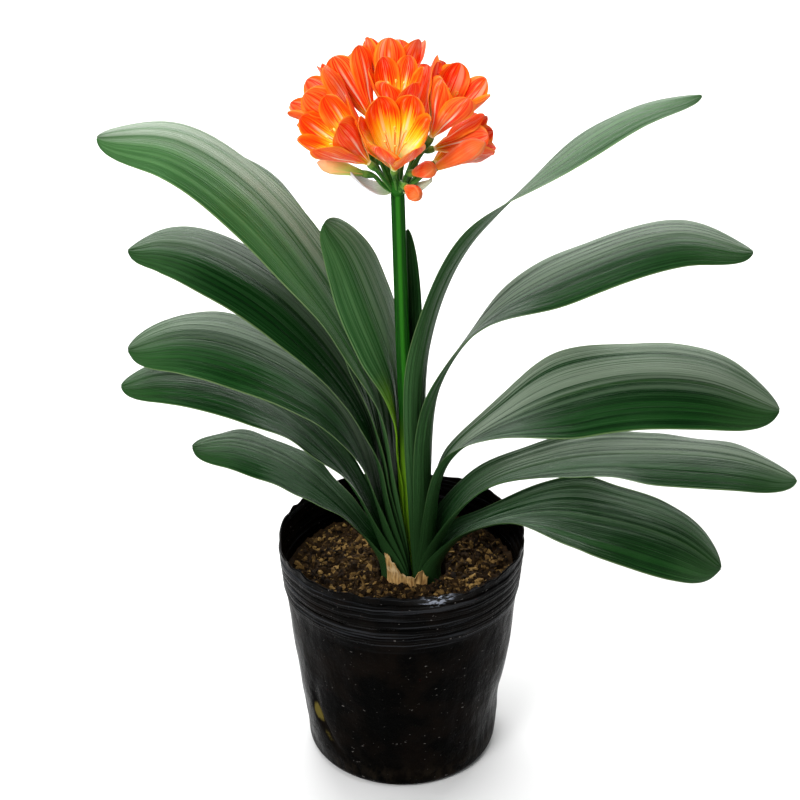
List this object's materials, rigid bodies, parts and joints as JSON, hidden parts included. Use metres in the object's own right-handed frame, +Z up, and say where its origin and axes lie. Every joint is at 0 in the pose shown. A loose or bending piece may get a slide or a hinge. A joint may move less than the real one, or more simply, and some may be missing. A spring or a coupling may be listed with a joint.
{
  "type": "potted clivia plant",
  "caption": "Flowering clivia with a fan of arching strap leaves and a round head of orange trumpet flowers, in a soft tapered nursery pot.",
  "frame": {"origin": "centre of the pot's underside", "axes": "+Z up along the pot's axis; the fan of leaves spreads along X and faces -Y"},
  "size_m": [0.4836, 0.1796, 0.5423],
  "materials": {
    "pot": "soft black polyethylene, satin",
    "soil": "loose crumbly potting mix",
    "stock": "fleshy root stock",
    "leaf": "leathery, satin gloss",
    "husk": "dry papery sheath",
    "scape": "fleshy green stalk",
    "petal": "soft satin petal",
    "stamen": "matt, pollen yellow",
    "bud": "soft satin",
    "bract": "papery, pale"
  },
  "bodies": {
    "root": {"pot": "pot", "soil": "soil", "root_stock": "stock", "leaf_left_1": "leaf", "leaf_left_2": "leaf", "leaf_left_3": "leaf", "leaf_left_4": "leaf", "leaf_left_5": "leaf", "leaf_left_6": "leaf", "leaf_left_7": "leaf", "leaf_right_1": "leaf", "leaf_right_2": "leaf", "leaf_right_3": "leaf", "leaf_right_4": "leaf", "leaf_right_5": "leaf", "leaf_right_6": "leaf", "husk": "husk", "scape": "scape", "bloom_back": "petal", "bloom_back_left": "petal", "bloom_back_right": "petal", "bloom_front": "petal", "bloom_left": "petal", "bloom_left_front": "petal", "bloom_left_high": "petal", "bloom_middle": "petal", "bloom_right": "petal", "bloom_right_high": "petal", "bloom_right_low": "petal", "bloom_top": "petal", "stamens_bloom_back": "stamen", "stamens_bloom_back_left": "stamen", "stamens_bloom_back_right": "stamen", "stamens_bloom_front": "stamen", "stamens_bloom_left": "stamen", "stamens_bloom_left_front": "stamen", "stamens_bloom_left_high": "stamen", "stamens_bloom_middle": "stamen", "stamens_bloom_right": "stamen", "stamens_bloom_right_high": "stamen", "stamens_bloom_right_low": "stamen", "stamens_bloom_top": "stamen", "bud_back_pale": "bud", "bud_left_pale": "bud", "bud_right": "bud", "bud_right_low": "bud", "bud_right_small": "bud", "bract_1": "bract", "bract_2": "bract", "bract_3": "bract"}
  },
  "joints": []
}
